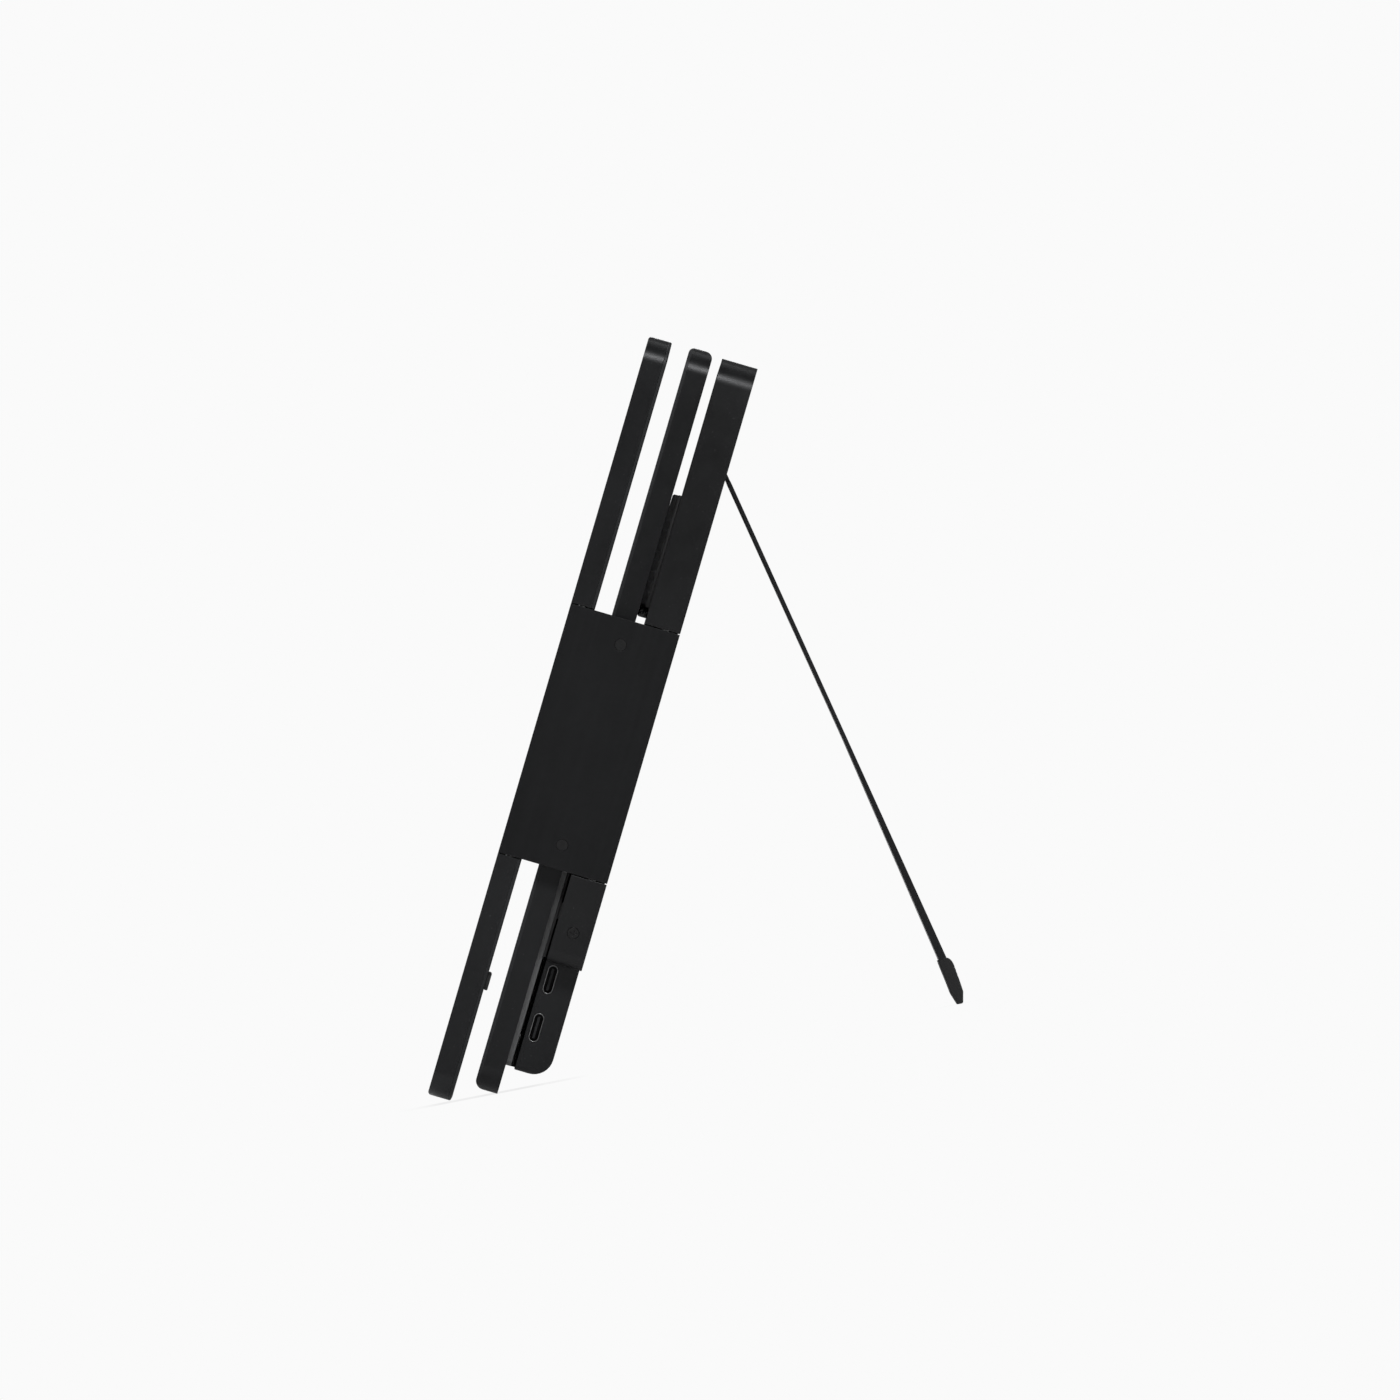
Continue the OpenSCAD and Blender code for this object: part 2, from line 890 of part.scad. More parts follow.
module usb_c_tongues() {
    color([0.03, 0.03, 0.03])
        in_stack()
            for (z = socket_z)
                block([post_x - receptacle_l + 1, socket_y - 0.35, z - 3.35],
                    [post_x - 1.6, socket_y + 0.35, z + 3.35]);
}

// ---- Kickstand ----

bracket_z = leg_z - 3.2;
bracket_top = leg_z + 3.2;
bracket_screw_x = [-13, 13];
bracket_screw_z = [leg_z - 2.2];

module kickstand_bracket() {
    color(trim_black)
        in_stack()
            difference() {
                for (side = [-1, 1])
                    block([side * (knuckle_w / 2 + gap + ear_w / 2) - ear_w / 2, recess_y, bracket_z],
                        [side * (knuckle_w / 2 + gap + ear_w / 2) + ear_w / 2, housing_back, bracket_top]);
                rod_x(leg_y, leg_z, leg_pin_r + 0.01, -leg_w, leg_w);
                for (z = bracket_screw_z, x = bracket_screw_x)
                    rod_y(x, z, 0.3, recess_y - 1, recess_y + 1);
            }
}

module bracket_screws() {
    color(steel)
        in_stack()
            for (z = bracket_screw_z, x = bracket_screw_x)
                rod_y(x, z, 0.28, recess_y - 0.9, recess_y + 0.9);
}

module kickstand_pin() {
    color(steel)
        in_stack()
            rod_x(leg_y, leg_z, leg_pin_r, -knuckle_w / 2 - ear_w, knuckle_w / 2 + ear_w);
}

leg_front = -leg_t / 2 + 0.1;
leg_rear = leg_t / 2 + 0.1;
plate_start = 5;
leg_end = foot_a - 4;

// Side view of the leg: its outer face is straight and its inner face thickens towards the foot
module leg_2d() {
    polygon([[leg_front, -1], [leg_rear, -1], [leg_rear, -leg_end],
        [leg_rear - leg_end_t, -leg_end], [leg_front, -taper_from]]);
}

module leg_plate(w, a0) {
    intersection() {
        along_x(-w / 2, w / 2)
            leg_2d();
        block([-w, -10, -200], [w, 10, -a0]);
    }
}

module kickstand_leg() {
    color(shell_black)
        in_leg()
            difference() {
                union() {
                    rod_x(0, 0, knuckle_r, -knuckle_w / 2, knuckle_w / 2);
                    leg_plate(knuckle_w, 1);
                    leg_plate(leg_w, plate_start);
                }
                rod_x(0, 0, leg_pin_r + running, -leg_w, leg_w);
            }
}

// Half the angle that the flat sole takes out of the round toe
sole_half = acos((foot_r - foot_flat) / foot_r);
sole_turn = 270 - leg_tilt;

// Points along part of a circle
function sweep(c, r, a0, a1) = [for (i = [0:8])
    let (a = a0 + (a1 - a0) * i / 8)
        c + r * [cos(a), sin(a)]];

// Side view of the foot: a long lozenge that narrows to a toe with a flat sole
module foot_2d() {
    toe = [foot_b, -foot_a];
    polygon(concat(
        [for (p = foot_inner) [p[0], p[1] - foot_a]],
        sweep(toe, foot_r, 205, sole_turn - sole_half),
        sweep(toe, foot_r, sole_turn + sole_half, 325),
        [for (p = foot_outer) [p[0], p[1] - foot_a]]));
}

module kickstand_foot() {
    color(rubber_black)
        in_leg()
            difference() {
                along_x(-leg_w / 2, leg_w / 2)
                    foot_2d();
                leg_plate(leg_w + 2, plate_start);
            }
}

// ---- Folding arm ----

// Both hinge barrels and the web between them, all of it under the cover
module arm_core_2d() {
    intersection() {
        union() {
            translate([screen_pin_x, screen_pin_y])
                circle(r = screen_barrel_r);
            translate([post_pin_x, post_pin_y])
                circle(r = post_barrel_r);
            translate([screen_pin_x, 0])
                square([arm_skin_x - screen_pin_x, outer_t]);
            translate([arm_skin_x - web_t, 0])
                square([web_t, post_back]);
            translate([post_pin_x, post_y])
                square([arm_skin_x - post_pin_x, post_t]);
        }
        square([arm_skin_x, post_back]);
    }
}

module arm_core() {
    color(shell_black)
        in_stack()
            difference() {
                along_z(arm_z, arm_top)
                    arm_core_2d();
                rod_z(screen_pin_x, screen_pin_y, screen_pin_r + 0.01, 0, outer_h);
                rod_z(post_pin_x, post_pin_y, post_pin_r + 0.01, 0, outer_h);
                for (z = arm_screw_z)
                    rod_x(arm_screw_y, z, 1.02, arm_skin_x - web_t - 1, near_x + 1);
            }
}

arm_screw_y = 17.8;
arm_screw_z = [83, 145.6];
// Angle at which the slots of the arm screws came to rest
arm_slot_turn = -70;

module arm_cover() {
    color(shell_black)
        in_stack()
            difference() {
                block([arm_skin_x, 0, arm_z], [near_x, post_back, arm_top]);
                for (z = arm_screw_z) {
                    rod_x(arm_screw_y, z, 1.02, arm_skin_x - 1, near_x + 1);
                    rod_x(arm_screw_y, z, 1.8, near_x - 0.7, near_x + 1);
                }
            }
}

module arm_screws() {
    color(steel)
        in_stack()
            for (z = arm_screw_z)
                difference() {
                    union() {
                        rod_x(arm_screw_y, z, 1, arm_skin_x - web_t, near_x - 0.7);
                        rod_x(arm_screw_y, z, 1.7, near_x - 0.7, near_x - 0.1);
                    }
                    translate([near_x - 0.5, arm_screw_y, z])
                        rotate([arm_slot_turn, 0, 0])
                            translate([0, -1.3, -0.25])
                                cube([2, 2.6, 0.5]);
                }
}

module post_pin() {
    color(steel)
        in_stack()
            rod_z(post_pin_x, post_pin_y, post_pin_r, notch_z - wall - block_h - 1,
                notch_top + wall + block_h + spring_count * spring_t + nut_h + pin_end);
}

module screen_pin() {
    color(steel)
        in_stack()
            rod_z(screen_pin_x, screen_pin_y, screen_pin_r, notch_z - wall - block_h - pin_end,
                notch_top + wall + block_h + pin_end);
}

spring_z = notch_top + wall + block_h;

// Disc springs that give the post hinge its friction
module disc_springs() {
    color([0.5, 0.5, 0.52])
        in_stack()
            for (i = [0:spring_count - 1])
                translate([post_pin_x, post_pin_y, spring_z + i * spring_t])
                    difference() {
                        cylinder(r = spring_r - 0.3 * (i % 2), h = spring_t);
                        translate([0, 0, -1])
                            cylinder(r = post_pin_r + 0.02, h = spring_t + 2);
                    }
}

module pin_nuts() {
    color(steel)
        in_stack()
            translate([post_pin_x, post_pin_y, spring_z + spring_count * spring_t])
                difference() {
                    cylinder(d = nut_af / cos(30), h = nut_h, $fn = 6);
                    translate([0, 0, -1])
                        cylinder(r = post_pin_r + 0.02, h = nut_h + 2);
                }
}

// Spring clips on both ends of the screen pin
module pin_clips() {
    color(steel)
        in_stack()
            for (z = [notch_z - wall - block_h - 0.8, notch_top + wall + block_h + 0.2])
                difference() {
                    rod_z(screen_pin_x, screen_pin_y, 2.1, z, z + 0.6);
                    rod_z(screen_pin_x, screen_pin_y, screen_pin_r + 0.01, z - 1, z + 2);
                }
}

front_cover();
rear_housing();
upper_post();
lower_post();
post_hinge_blocks();
slide_rails();
lid_rest_pad();
lid_magnets();
main_board();
board_screws();
usb_c_shells();
usb_c_tongues();
rear_screws();
post_side_screw();
post_inner_screws();
kickstand_bracket();
kickstand_pin();
bracket_screws();
arm_core();
arm_cover();
arm_screws();
post_pin();
screen_pin();
disc_springs();
pin_nuts();
pin_clips();
outer_back_cover();
outer_bezel();
outer_glass();
outer_panel();
outer_backlight();
outer_board();
outer_hinge_blocks();
outer_block_screws();
outer_bumpers();
outer_key_board();
outer_power_key();
outer_menu_key();
inner_back_cover();
inner_bezel();
inner_glass();
inner_panel();
inner_backlight();
inner_board();
inner_bumpers();
inner_key_board();
inner_power_key();
inner_menu_key();
carriage_plate();
carriage_runners();
carriage_screws();
kickstand_leg();
kickstand_foot();
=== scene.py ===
"""Looks of the folding laptop stand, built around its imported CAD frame. Lengths are in metres."""
import json
import math

import bmesh
import bpy
from mathutils import Matrix, Vector


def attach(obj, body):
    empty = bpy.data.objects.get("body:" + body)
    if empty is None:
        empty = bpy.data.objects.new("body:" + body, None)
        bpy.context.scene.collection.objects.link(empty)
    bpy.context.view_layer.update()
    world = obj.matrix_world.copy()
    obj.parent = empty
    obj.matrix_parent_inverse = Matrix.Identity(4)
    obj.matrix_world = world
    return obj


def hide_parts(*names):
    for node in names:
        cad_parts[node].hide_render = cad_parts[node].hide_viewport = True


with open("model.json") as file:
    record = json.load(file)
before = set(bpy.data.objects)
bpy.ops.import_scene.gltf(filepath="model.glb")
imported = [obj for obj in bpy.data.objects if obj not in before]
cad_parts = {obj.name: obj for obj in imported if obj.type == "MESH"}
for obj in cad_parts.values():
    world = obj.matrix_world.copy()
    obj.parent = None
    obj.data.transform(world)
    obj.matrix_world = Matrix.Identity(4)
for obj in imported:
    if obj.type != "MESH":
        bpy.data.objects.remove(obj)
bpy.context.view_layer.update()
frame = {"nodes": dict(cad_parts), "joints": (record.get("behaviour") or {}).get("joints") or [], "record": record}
NODES = frame["nodes"]
JOINTS = {j["name"]: j for j in frame["joints"]}
MM = 0.001

# The stack leans back; its own frame is the row frame turned upright about X
HINGE_AXIS = JOINTS["arm_hinge"]["axis"]
LEAN = math.atan2(HINGE_AXIS[1], HINGE_AXIS[2])
TO_ROW = Matrix.Rotation(-LEAN, 4, "X")
TO_STACK = TO_ROW.inverted()
LEG_OPEN = math.radians(-JOINTS["kickstand_hinge"]["range_deg"][0])


def stack_box(name):
    """Lowest and highest corner of a CAD node, measured along the leaning stack."""
    points = [TO_STACK @ v.co for v in NODES[name].data.vertices]
    low = Vector(min(p[i] for p in points) for i in range(3))
    high = Vector(max(p[i] for p in points) for i in range(3))
    return low, high


# ---- Camera ----

def add_camera():
    """Looks along the screens from their near end, rolled as the picture is."""
    picture_w = 0.42
    lens = 1200
    sensor = 36
    roll = math.radians(10.9)
    aim_back, aim_up = 45.3 * MM, 136.4 * MM
    eye_back, eye_up = 15 * MM, 30 * MM
    foot = stack_box("outer_back_cover")[0]
    near_x = stack_box("arm_cover")[1].x
    distance = picture_w * lens / sensor
    aim = TO_ROW @ Vector((near_x, foot.y + aim_back, foot.z + aim_up))
    eye = TO_ROW @ Vector((near_x + distance, foot.y + eye_back, foot.z + eye_up))
    back = (eye - aim).normalized()
    up = Vector((0, math.sin(roll), math.cos(roll)))
    right = up.cross(back).normalized()
    up = back.cross(right)
    data = bpy.data.cameras.new("camera")
    data.lens, data.sensor_width = lens, sensor
    data.clip_end = 60
    camera = bpy.data.objects.new("camera", data)
    facing = Matrix((right, up, back)).transposed().to_4x4()
    camera.matrix_world = Matrix.Translation(eye) @ facing
    bpy.context.scene.collection.objects.link(camera)
    bpy.context.scene.camera = camera


# ---- Materials ----

class Material:
    """A node material: a Principled shader with helpers to feed it."""

    def __init__(self, name, **sockets):
        self.material = bpy.data.materials.new(name)
        self.material.use_nodes = True
        self.tree = self.material.node_tree
        self.shader = self.tree.nodes["Principled BSDF"]
        for socket, value in sockets.items():
            self.shader.inputs[socket.replace("_", " ")].default_value = value
        coordinates = self.node("ShaderNodeTexCoord")
        upright = self.node("ShaderNodeMapping")
        upright.inputs["Rotation"].default_value = (LEAN, 0, 0)
        self.link(coordinates.outputs["Object"], upright.inputs["Vector"])
        self.place = upright.outputs["Vector"]

    def node(self, kind, **settings):
        made = self.tree.nodes.new(kind)
        for name, value in settings.items():
            setattr(made, name, value)
        return made

    def link(self, source, target):
        self.tree.links.new(source, target)

    def colour(self, source):
        self.link(source, self.shader.inputs["Base Color"])

    def roughness(self, source):
        self.link(source, self.shader.inputs["Roughness"])

    def stretched(self, scale):
        """The place in the stack, stretched by a factor along each axis."""
        mapping = self.node("ShaderNodeMapping")
        mapping.inputs["Scale"].default_value = scale
        self.link(self.place, mapping.inputs["Vector"])
        return mapping.outputs["Vector"]

    def noise(self, scale, detail=4, vector=None, rough=0.55):
        noise = self.node("ShaderNodeTexNoise")
        noise.inputs["Scale"].default_value = scale
        noise.inputs["Detail"].default_value = detail
        noise.inputs["Roughness"].default_value = rough
        self.link(vector or self.place, noise.inputs["Vector"])
        return noise.outputs["Fac"]

    def remap(self, value, low, high, to_low, to_high):
        """Value with low to high turned into to_low to to_high, and held at both ends."""
        remap = self.node("ShaderNodeMapRange")
        remap.inputs["From Min"].default_value = low
        remap.inputs["From Max"].default_value = high
        remap.inputs["To Min"].default_value = to_low
        remap.inputs["To Max"].default_value = to_high
        self.link(value, remap.inputs["Value"])
        return remap.outputs["Result"]

    def combine(self, a, b, operation="MULTIPLY"):
        sums = self.node("ShaderNodeMath", operation=operation)
        self.link(a, sums.inputs[0])
        if isinstance(b, (int, float)):
            sums.inputs[1].default_value = b
        else:
            self.link(b, sums.inputs[1])
        return sums.outputs[0]

    def blend(self, factor, a, b):
        """A colour between a and b. Either may be a colour or an output."""
        mix = self.node("ShaderNodeMix", data_type="RGBA")
        self.link(factor, mix.inputs["Factor"])
        for value, socket in ((a, mix.inputs[6]), (b, mix.inputs[7])):
            if isinstance(value, tuple):
                socket.default_value = value
            else:
                self.link(value, socket)
        return mix.outputs[2]

    def convex(self, reach):
        """One along convex edges within reach, nought on flat faces."""
        occlusion = self.node("ShaderNodeAmbientOcclusion", inside=True, samples=6)
        occlusion.inputs["Distance"].default_value = reach
        return self.remap(occlusion.outputs["AO"], 0.45, 0.9, 1, 0)

    def bump(self, height, depth, strength=1.0):
        bump = self.node("ShaderNodeBump")
        bump.inputs["Distance"].default_value = depth
        bump.inputs["Strength"].default_value = strength
        previous = self.shader.inputs["Normal"]
        if previous.is_linked:
            self.link(previous.links[0].from_socket, bump.inputs["Normal"])
        self.link(height, bump.inputs["Height"])
        self.link(bump.outputs["Normal"], previous)


def grey(value, tint=0.0):
    """A near-neutral colour, a little bluer as tint grows."""
    return (value, value * (1 + tint / 3), value * (1 + tint), 1)


def moulded_plastic(name, value, rough, grain=0.45 * MM, grain_depth=0.02 * MM):
    """Matt moulded plastic: spark-eroded grain, drifting gloss, handling marks and paler edges."""
    m = Material(name, Specular_IOR_Level=0.25)
    drift = m.noise(14, 3)
    marks = m.noise(160, 6, rough=0.7)
    tone = m.blend(m.remap(drift, 0.35, 0.65, 0, 1), grey(value * 0.76, 0.14), grey(value * 1.3, 0.14))
    wear = m.combine(m.convex(0.5 * MM), m.remap(marks, 0.35, 0.7, 0.15, 0.75))
    tone = m.blend(wear, tone, grey(value * 3.2))
    dust = m.remap(m.noise(1400, 2), 0.68, 0.76, 0, 0.22)
    m.colour(m.blend(dust, tone, grey(0.08)))
    gloss = m.remap(drift, 0.3, 0.7, -0.05, 0.05)
    polish = m.remap(marks, 0.4, 0.75, rough, rough - 0.06)
    m.roughness(m.combine(gloss, polish, "ADD"))
    m.bump(m.noise(1 / grain, 2), grain_depth, 0.55)
    return m.material


def anodised(name, value, rough, streak=0.5):
    """Black anodised aluminium: fine blasted grain with faint drawn streaks up the stack."""
    m = Material(name, Metallic=0.3, Specular_IOR_Level=0.24)
    streaks = m.noise(900, 3, m.stretched((1, 1, 0.02)))
    cloud = m.noise(22, 4)
    tone = m.blend(m.remap(cloud, 0.35, 0.65, 0, 1), grey(value * 0.85, 0.1), grey(value * 1.2, 0.12))
    tone = m.blend(m.remap(streaks, 0.45, 0.75, 0, 0.3 * streak), tone, grey(value * 2.2, 0.08))
    wear = m.combine(m.convex(0.45 * MM), m.remap(m.noise(240, 5), 0.35, 0.7, 0.2, 0.8))
    m.colour(m.blend(wear, tone, grey(value * 4.5)))
    drawn = m.remap(streaks, 0.3, 0.7, rough - 0.04, rough + 0.05)
    gloss = m.remap(cloud, 0.3, 0.7, -0.04, 0.04)
    m.roughness(m.combine(drawn, gloss, "ADD"))
    m.bump(m.noise(3200, 2), 0.012 * MM, 0.5)
    m.bump(streaks, 0.006 * MM, 0.5)
    return m.material


def machined_steel(name, value, rough, along=(0.02, 1, 1)):
    """Bare metal with a drawn grain along one axis."""
    m = Material(name, Metallic=1.0, Anisotropic=0.4)
    grain = m.noise(1600, 4, m.stretched(along))
    stain = m.noise(70, 4)
    m.colour(m.blend(m.remap(stain, 0.35, 0.7, 0, 1), grey(value * 0.88), grey(value * 1.08)))
    m.roughness(m.remap(grain, 0.3, 0.7, rough - 0.06, rough + 0.1))
    m.bump(grain, 0.008 * MM, 0.6)
    return m.material


def socket_metal_painted_shade(name):
    """Nickel, with painted shade that takes it from bright at the mouth of a socket to near black inside it."""
    m = Material(name, Metallic=1.0)
    mouth = stack_box("usb_c_shells")[1].x
    split = m.node("ShaderNodeSeparateXYZ")
    m.link(m.place, split.inputs["Vector"])
    # Painted shade: near black more than half a millimetre inside the mouth, plain nickel within a tenth of a
    # millimetre of it
    depth = m.remap(split.outputs["X"], mouth - 0.5 * MM, mouth - 0.1 * MM, 0, 1)
    grain = m.noise(1500, 3)
    m.colour(m.blend(depth, grey(0.012), grey(0.2)))
    m.roughness(m.remap(grain, 0.3, 0.7, 0.24, 0.4))
    m.bump(grain, 0.006 * MM, 0.5)
    return m.material


def moulded_rubber(name, value, rough=0.72):
    """Rubber or felt: fine pitting, a dry bloom and pale dust."""
    m = Material(name, Specular_IOR_Level=0.28, Sheen_Weight=0.12, Sheen_Roughness=0.5)
    bloom = m.noise(90, 5)
    tone = m.blend(m.remap(bloom, 0.4, 0.7, 0, 0.7), grey(value), grey(value * 1.9))
    dust = m.remap(m.noise(2600, 2), 0.66, 0.74, 0, 0.25)
    m.colour(m.blend(dust, tone, grey(0.1)))
    m.roughness(m.remap(bloom, 0.3, 0.7, rough - 0.06, rough + 0.08))
    m.bump(m.noise(2400, 3), 0.03 * MM, 0.6)
    return m.material


def dark_glass(name, node):
    """Cover glass over a dark panel: a black printed border, then a satin face with faint smears."""
    m = Material(name, Coat_Weight=0.25, Coat_Roughness=0.08, Specular_IOR_Level=0.5)
    low, high = stack_box(node)
    border = 3.2 * MM
    split = m.node("ShaderNodeSeparateXYZ")
    m.link(m.place, split.inputs["Vector"])
    within = []
    for axis in (0, 2):
        middle = (low[axis] + high[axis]) / 2
        half = (high[axis] - low[axis]) / 2 - border
        offset = m.combine(split.outputs[axis], middle, "SUBTRACT")
        away = m.combine(offset, m.combine(offset, -1), "MAXIMUM")
        within.append(m.remap(away, half, half + 0.3 * MM, 1, 0))
    smear = m.noise(26, 6, m.stretched((1, 1, 0.45)), rough=0.7)
    plain = (0.01, 0.011, 0.014, 1)
    smeared = (0.013, 0.014, 0.018, 1)
    face = m.blend(m.remap(smear, 0.4, 0.7, 0, 1), plain, smeared)
    m.colour(m.blend(m.combine(*within), grey(0.003), face))
    m.roughness(m.remap(smear, 0.35, 0.75, 0.15, 0.19))
    m.bump(m.noise(5200, 2), 0.002 * MM, 0.4)
    return m.material


def circuit_board(name):
    """Green solder mask with paler track bundles."""
    m = Material(name, Specular_IOR_Level=0.45)
    tracks = m.node("ShaderNodeTexWave", wave_type="BANDS", bands_direction="Z")
    tracks.inputs["Scale"].default_value = 700
    tracks.inputs["Distortion"].default_value = 2.5
    m.link(m.place, tracks.inputs["Vector"])
    solder_mask = (0.008, 0.06, 0.03, 1)
    track = (0.02, 0.13, 0.06, 1)
    bundles = m.remap(m.noise(80), 0.45, 0.6, 0, 1)
    on_track = m.combine(m.remap(tracks.outputs["Fac"], 0.6, 0.8, 0, 1), bundles)
    m.colour(m.blend(on_track, solder_mask, track))
    m.roughness(m.remap(m.noise(400), 0.3, 0.7, 0.3, 0.45))
    m.bump(on_track, 0.02 * MM, 0.5)
    return m.material


def acetal(name):
    """Black sliding plastic, a little burnished along its travel."""
    m = Material(name)
    rub = m.noise(700, 4, m.stretched((0.03, 1, 1)))
    m.colour(m.blend(rub, grey(0.012), grey(0.022)))
    m.roughness(m.remap(rub, 0.3, 0.7, 0.28, 0.5))
    m.bump(rub, 0.006 * MM, 0.5)
    return m.material


# Grain of a bezel, finer than that of a shell
BEZEL_GRAIN = {"grain": 0.3 * MM, "grain_depth": 0.012 * MM}

# How much a metal's grain is squeezed along each axis: less than one draws it out
EVEN = (1, 1, 1)
UPWARDS = (1, 1, 0.05)

MATERIALS = {
    "shell_black": moulded_plastic("shell_plastic", 0.0048, 0.37),
    "bezel_black": moulded_plastic("bezel_plastic", 0.0105, 0.5, **BEZEL_GRAIN),
    "arm_metal": anodised("arm_anodised", 0.0046, 0.42),
    "leg_metal": anodised("leg_anodised", 0.009, 0.4, streak=0.8),
    "screen_glass": dark_glass("screen_glass", "outer_glass"),
    "panel": moulded_plastic("panel_film", 0.008, 0.3),
    "backlight_tray": machined_steel("tray_sheet", 0.62, 0.34),
    "steel": machined_steel("steel", 0.5, 0.3, along=UPWARDS),
    "screw_steel": machined_steel("screw_zinc", 0.16, 0.36, along=EVEN),
    "rubber": moulded_rubber("bumper_rubber", 0.012),
    "rest_pad": moulded_rubber("pad_silicone", 0.024, 0.6),
    "magnet": machined_steel("magnet_nickel", 0.7, 0.22, along=EVEN),
    "circuit_board": circuit_board("circuit_board"),
    "socket_plastic": moulded_plastic("socket_plastic", 0.01, 0.5),
    "slider_plastic": acetal("slider_acetal"),
}

FELT = moulded_rubber("black_felt", 0.02, 0.85)
BLACK_SCREW = machined_steel("screw_blackened", 0.035, 0.38, along=EVEN)

# Nodes whose finish differs from the rest of their slot
FINISHES = {
    "carriage_plate": machined_steel("carriage_gunmetal", 0.15, 0.42),
    "usb_c_shells": socket_metal_painted_shade("socket_nickel_painted_shade"),
    "rear_housing": moulded_plastic("housing_plastic", 0.0048, 0.4, grain=0.6 * MM, grain_depth=0.025 * MM),
    # Painted shade: the posts are the shells' plastic with a darker base colour (0.0024 and 0.0028 against
    # 0.0048), standing in for less light on them
    "lower_post": moulded_plastic("lower_post_plastic_painted_shade", 0.0024, 0.42),
    "upper_post": moulded_plastic("upper_post_plastic_painted_shade", 0.0028, 0.4),
    "outer_bezel": moulded_plastic("outer_bezel_plastic", 0.008, 0.48, **BEZEL_GRAIN),
    "inner_glass": dark_glass("inner_screen_glass", "inner_glass"),
    "slide_rails": machined_steel("rail_black_steel", 0.1, 0.36),
    "arm_screws": BLACK_SCREW,
    "post_side_screw": BLACK_SCREW,
    "rear_screws": BLACK_SCREW,
    "carriage_screws": BLACK_SCREW,
}

OILED = ("screen_pin", "post_pin", "post_hinge_blocks", "outer_hinge_blocks", "disc_springs", "pin_clips")
for oiled in OILED:
    FINISHES[oiled] = machined_steel(f"{oiled}_oiled_steel", 0.16, 0.36, along=UPWARDS)

# Width of the softened edge on each sort of piece
EDGE = {
    "shell_black": 0.35 * MM,
    "bezel_black": 0.22 * MM,
    "arm_metal": 0.4 * MM,
    "leg_metal": 0.22 * MM,
    "backlight_tray": 0.15 * MM,
    "steel": 0.12 * MM,
    "rubber": 0.3 * MM,
    "slider_plastic": 0.2 * MM,
    "screen_glass": 0.08 * MM,
    "screw_steel": 0.06 * MM,
}


def soften(obj, width):
    """Joins the split edges of a carried-over mesh, rounds its sharp edges and shades it smooth."""
    weld = obj.modifiers.new("join", "WELD")
    weld.merge_threshold = 0.002 * MM
    flatten = obj.modifiers.new("flatten", "DECIMATE")
    flatten.decimate_type = "DISSOLVE"
    flatten.angle_limit = math.radians(0.5)
    edge = obj.modifiers.new("edge", "BEVEL")
    edge.width = width
    edge.segments = 3
    edge.limit_method = "ANGLE"
    edge.angle_limit = math.radians(40)
    edge.use_clamp_overlap = True
    edge.miter_outer = "MITER_ARC"
    flat = obj.modifiers.new("flat_faces", "WEIGHTED_NORMAL")
    flat.weight = 90


def finish_cad_nodes():
    """Gives every CAD node its material, and softened edges to those whose slot is listed in EDGE."""
    slot_of = {s["node"]: s["material_slot"] for s in frame["record"]["subparts"]}
    for name, obj in NODES.items():
        slot = slot_of[name]
        obj.data.materials.clear()
        obj.data.materials.append(FINISHES.get(name, MATERIALS[slot]))
        for polygon in obj.data.polygons:
            polygon.use_smooth = True
        if slot in EDGE:
            soften(obj, EDGE[slot])


# ---- Pieces modelled here ----

def add_mesh(name, bm, body, slot, matrix, material=None):
    """Makes a piece from bm, drawn in the frame that matrix takes to the row frame."""
    bmesh.ops.recalc_face_normals(bm, faces=bm.faces)
    mesh = bpy.data.meshes.new(name)
    bm.to_mesh(mesh)
    bm.free()
    mesh.transform(matrix)
    for polygon in mesh.polygons:
        polygon.use_smooth = True
    mesh.materials.append(material or MATERIALS[slot])
    obj = bpy.data.objects.new(name, mesh)
    bpy.context.scene.collection.objects.link(obj)
    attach(obj, body)
    return obj


def loft(bm, rings):
    """Skins closed rings of points, with a cap on both ends."""
    made = [[bm.verts.new(p) for p in ring] for ring in rings]
    for a, b in zip(made, made[1:]):
        for i in range(len(a)):
            j = (i + 1) % len(a)
            bm.faces.new((a[i], a[j], b[j], b[i]))
    bm.faces.new(list(reversed(made[0])))
    bm.faces.new(made[-1])


def arc(centre, radius, start, end, count):
    """Points along an arc from start to end, in degrees."""
    points = []
    for i in range(count + 1):
        turn = math.radians(start + (end - start) * i / count)
        points.append((centre[0] + radius * math.cos(turn), centre[1] + radius * math.sin(turn)))
    return points


def inset_ring(outline, inset):
    """Outline moved inwards by inset, each point along the bisector of its two edges."""
    ring = []
    count = len(outline)
    for i, point in enumerate(outline):
        before = (Vector(point) - Vector(outline[i - 1])).normalized()
        after = (Vector(outline[(i + 1) % count]) - Vector(point)).normalized()
        along = (before + after).normalized()
        ring.append((point[0] - along.y * inset, point[1] + along.x * inset))
    return ring


# The boot's toe: its radius, its place across the leg, and how much of it the flat sole cuts off
TOE_R = 1.1 * MM
TOE_B = -1.1 * MM
SOLE_CUT = 0.2 * MM


def grip_face(groove_depth):
    """The boot's outer face in mm across and up, with its grooves cut to a depth."""
    low_z, low_face = 6, 1.5
    slope = 0.25 / 3.1
    first, pitch, grooves = 6.6, 1.3, 4
    face_points = [(1.1, 2.2), (1.3, 4), (low_face, low_z)]
    for i in range(grooves):
        z = first + i * pitch
        face = low_face + slope * (z - low_z)
        floor = face - groove_depth
        face_points += [(face, z), (floor, z + 0.22), (floor, z + 0.5), (face, z + 0.72)]
    return face_points + [(1.7, 12.3), (1.35, 13.05), (0.95, 13.5)]


